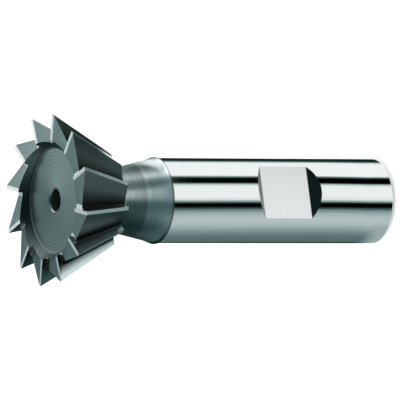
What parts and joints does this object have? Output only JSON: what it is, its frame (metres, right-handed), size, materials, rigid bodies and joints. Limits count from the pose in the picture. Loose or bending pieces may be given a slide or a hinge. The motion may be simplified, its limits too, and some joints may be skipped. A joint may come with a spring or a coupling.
{
  "type": "dovetail cutter",
  "caption": "One-piece dovetail milling cutter: straight shank with a clamping flat, turned neck and a conical toothed head that cuts 60 degree undercuts.",
  "frame": {"origin": "centre of the shank end face, on the tool's axis; the tool stands on this face", "axes": "+Z along the tool's axis from the shank end to the end face of the teeth; the clamping flat looks along -Y; +X completes the right-handed frame"},
  "size_m": [0.0322, 0.0322, 0.071],
  "materials": {
    "tool_steel": "ground bright steel, turned satin on the neck and milled in the flutes"
  },
  "bodies": {
    "root": {"dovetail_cutter": "tool_steel"}
  },
  "joints": []
}
